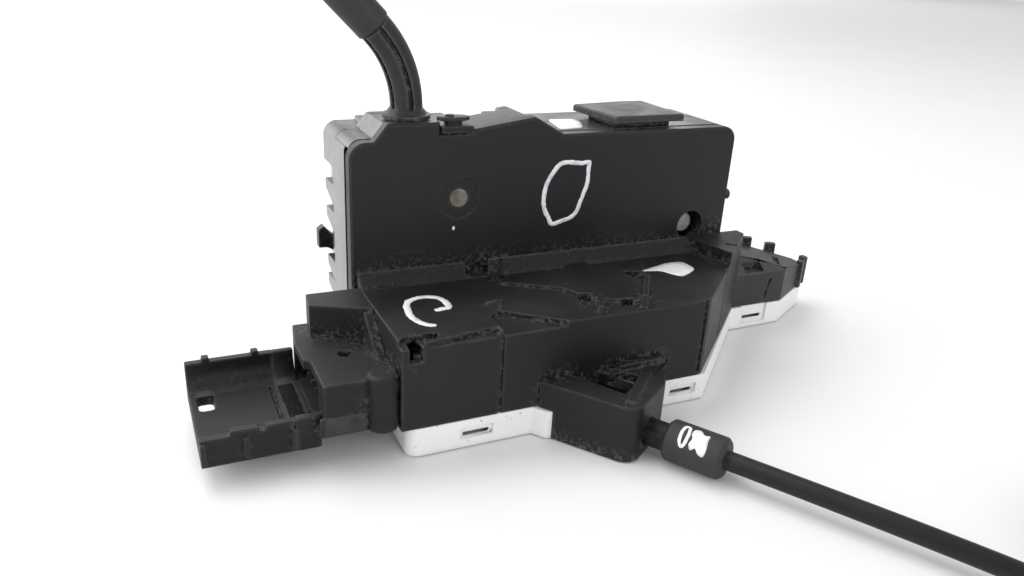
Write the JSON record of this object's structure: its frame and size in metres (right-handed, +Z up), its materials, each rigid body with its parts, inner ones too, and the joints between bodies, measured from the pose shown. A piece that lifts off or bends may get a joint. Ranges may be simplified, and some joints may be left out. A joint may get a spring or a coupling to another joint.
{
  "type": "vehicle door latch with lock actuator",
  "caption": "Door latch with a claw and pawl behind a steel plate, a low lock drive housing with a connector, and two Bowden cables in a boot and an elbow guide.",
  "frame": {"origin": "middle of the object's footprint, on the surface it lies on, without its free cables", "axes": "+Z up, +X along the box to the right as seen from the front, +Y from the cable side towards the latch plate"},
  "size_m": [0.2594, 0.2036, 0.1315],
  "materials": {
    "white_shell": "moulded, light sheen",
    "black_shell": "moulded, fine grain",
    "black_gloss": "moulded, smooth",
    "seal": "soft",
    "black_rubber": "soft",
    "plated_steel": "zinc plated",
    "pin_steel": "riveted end, dull",
    "spring_steel": "oiled",
    "cable_sheath": "extruded",
    "wire_steel": "stranded",
    "gear_plastic": "natural acetal",
    "motor_steel": "plated can",
    "brass_worm": "turned",
    "board": "moulded",
    "terminal_tin": "tin plated"
  },
  "bodies": {
    "housing": {"base_shell": "white_shell", "mechanism_cover": "black_shell", "front_cover": "black_shell", "cover_gasket": "seal", "rear_shell": "black_shell", "roof_front": "black_shell", "striker_guard": "black_shell", "side_cover": "black_shell", "top_cap": "black_shell", "top_clip": "black_shell", "side_hook": "black_gloss", "connector_socket": "black_shell", "connector_shroud": "black_shell", "connector_terminals": "terminal_tin", "latch_plate": "plated_steel", "cover_screws": "plated_steel", "claw_pin": "pin_steel", "pawl_pin": "pin_steel", "release_pin": "pin_steel", "claw_spring": "spring_steel", "pawl_spring": "spring_steel", "striker_buffer": "black_rubber", "inner_lever_pin": "pin_steel", "circuit_carrier": "board", "drive_motor": "motor_steel", "wheel_axle": "pin_steel", "claw_switch": "black_shell", "lock_switch": "black_shell", "cable_block": "black_shell", "cable_ferrule": "black_gloss", "cable_boot": "black_rubber", "cable_guide": "black_shell", "guide_sleeve": "black_rubber", "inner_cable": "cable_sheath", "inner_cable_coil": "cable_sheath", "inner_cable_tail": "cable_sheath", "inner_cable_end": "wire_steel", "outer_cable": "cable_sheath", "outer_cable_end": "wire_steel"},
    "claw": {"claw": "plated_steel"},
    "release_slider": {"release_slider": "gear_plastic"},
    "release_lever": {"release_lever": "plated_steel"},
    "pawl": {"pawl": "plated_steel"},
    "inner_lever": {"inner_lever": "gear_plastic"},
    "inner_core": {"inner_core": "wire_steel"},
    "outer_lever": {"outer_lever": "plated_steel"},
    "outer_core": {"outer_core": "wire_steel"},
    "worm": {"worm": "brass_worm"},
    "worm_wheel": {"worm_wheel": "gear_plastic"},
    "lock_slider": {"lock_slider": "gear_plastic"},
    "claw_plunger": {"claw_plunger": "black_shell"},
    "lock_plunger": {"lock_plunger": "black_shell"}
  },
  "joints": [
    {"name": "claw_turn", "type": "hinge", "parent": "housing", "child": "claw", "pos_m": [-0.03055, 0.04265, 0.0479], "axis": [0, -1, 0], "range_deg": [-58, 0]},
    {"name": "release_slide", "type": "slide", "parent": "housing", "child": "release_slider", "axis": [-1, 0, 0], "range_m": [-0.005, 0.0038]},
    {"name": "release_lever_turn", "type": "hinge", "parent": "housing", "child": "release_lever", "pos_m": [0.04095, 0.03065, 0.0345], "axis": [0, 1, 0], "range_deg": [-11.03, 8.38]},
    {"name": "pawl_turn", "type": "hinge", "parent": "housing", "child": "pawl", "pos_m": [-0.00277, 0.04065, 0.04251], "axis": [0, -1, 0], "range_deg": [-5.08, 3.86]},
    {"name": "inner_lever_turn", "type": "hinge", "parent": "housing", "child": "inner_lever", "pos_m": [-0.00195, -0.00045, 0.005], "axis": [0, 0, 1], "range_deg": [-11.9, 9.04]},
    {"name": "inner_core_slide", "type": "slide", "parent": "housing", "child": "inner_core", "axis": [0.5135, -0.8581, 0], "range_m": [-0.00354, 0.00269]},
    {"name": "outer_lever_turn", "type": "hinge", "parent": "housing", "child": "outer_lever", "pos_m": [-0.03055, 0.02515, 0.0479], "axis": [0, 1, 0], "range_deg": [-13.03, 9.91]},
    {"name": "outer_core_slide", "type": "slide", "parent": "housing", "child": "outer_core", "axis": [0, 0, 1], "range_m": [-0.00253, 0.00193]},
    {"name": "wheel_turn", "type": "hinge", "parent": "housing", "child": "worm_wheel", "pos_m": [-0.01295, 0.00682, 0.018], "axis": [0, 0, 1], "range_deg": [0, 120]},
    {"name": "worm_turn", "type": "hinge", "parent": "housing", "child": "worm", "pos_m": [-0.01295, -0.00495, 0.018], "axis": [1, 0, 0], "range_deg": [-2880.1, 0]},
    {"name": "lock_slide", "type": "slide", "parent": "housing", "child": "lock_slider", "axis": [-1, 0, 0], "range_m": [0, 0.00839]},
    {"name": "claw_plunger_press", "type": "slide", "parent": "housing", "child": "claw_plunger", "axis": [-1, 0, 0], "range_m": [0, 0.0008], "stiffness_N_per_m": 200},
    {"name": "lock_plunger_press", "type": "slide", "parent": "housing", "child": "lock_plunger", "axis": [1, 0, 0], "range_m": [0, 0.0008], "stiffness_N_per_m": 200}
  ],
  "couplings": [
    {"joint": "release_lever_turn", "follows": "release_slide", "rad_per_m": 38.462},
    {"joint": "pawl_turn", "follows": "release_slide", "rad_per_m": 17.692},
    {"joint": "inner_lever_turn", "follows": "release_slide", "rad_per_m": 41.494},
    {"joint": "inner_core_slide", "follows": "release_slide", "ratio": 0.70539},
    {"joint": "outer_lever_turn", "follows": "release_slide", "rad_per_m": 45.455},
    {"joint": "outer_core_slide", "follows": "release_slide", "ratio": 0.50455},
    {"joint": "worm_turn", "follows": "wheel_turn", "ratio": -24},
    {"joint": "lock_slide", "follows": "wheel_turn", "m_per_rad": 0.004}
  ]
}
